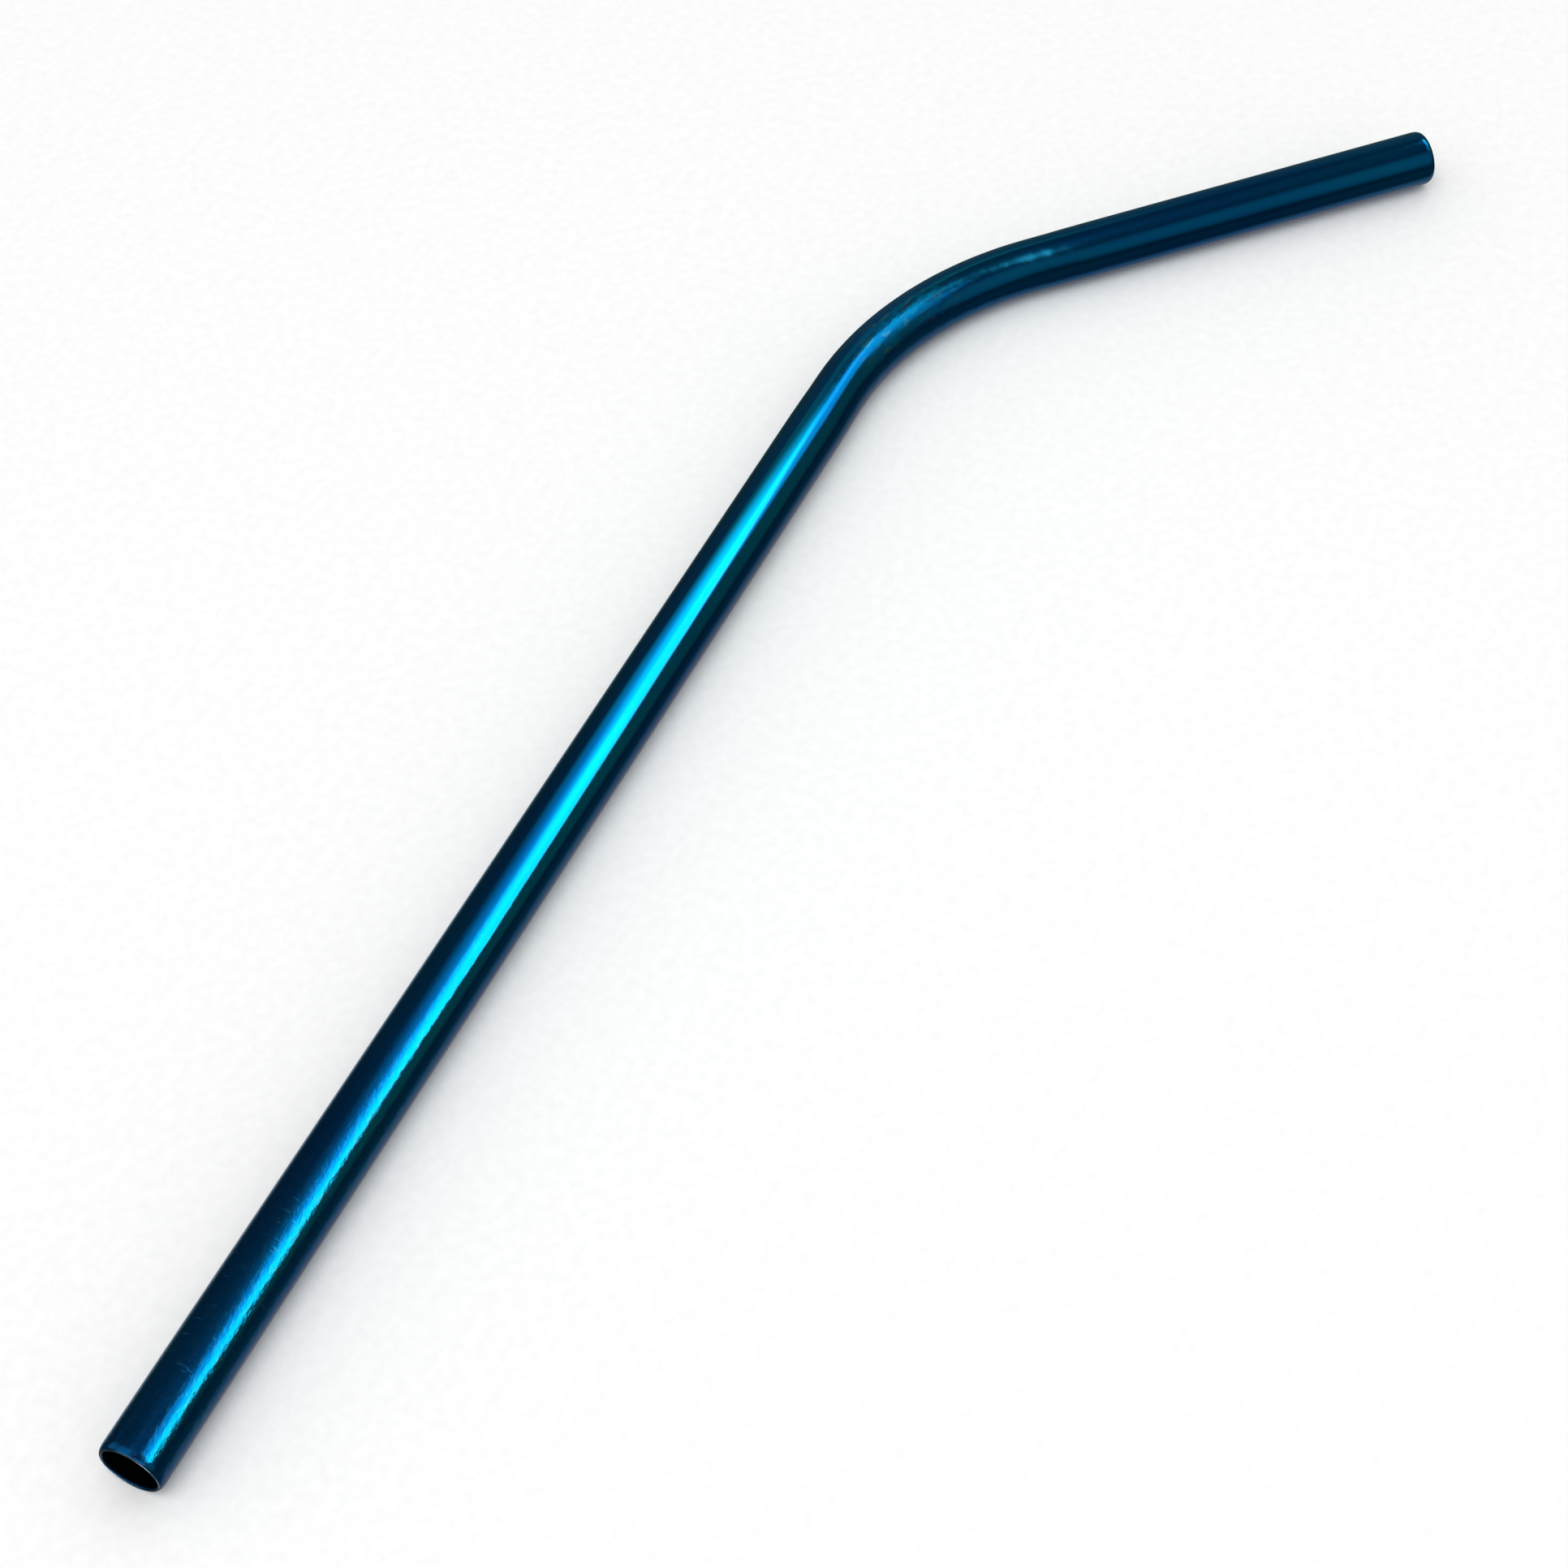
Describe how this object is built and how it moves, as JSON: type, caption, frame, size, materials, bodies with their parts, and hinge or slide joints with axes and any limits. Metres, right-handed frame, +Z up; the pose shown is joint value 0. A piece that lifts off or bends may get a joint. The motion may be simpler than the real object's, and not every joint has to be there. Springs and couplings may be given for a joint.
{
  "type": "bent drinking straw",
  "caption": "Bent metal drinking straw: a thin round tube with a long straight stem, one smooth bend and a short mouth arm, open at both ends with rounded lips.",
  "frame": {"origin": "middle of the straw's box, on the surface that the straw lies on", "axes": "+X along the stem from its open end towards the bend, +Z up from the surface and square to the plane of the bend; the mouth arm turns from +X towards -Y"},
  "size_m": [0.2, 0.05, 0.006],
  "materials": {
    "blue_metal": "polished"
  },
  "bodies": {
    "root": {"stem": "blue_metal", "bend": "blue_metal", "mouth_arm": "blue_metal"}
  },
  "joints": []
}
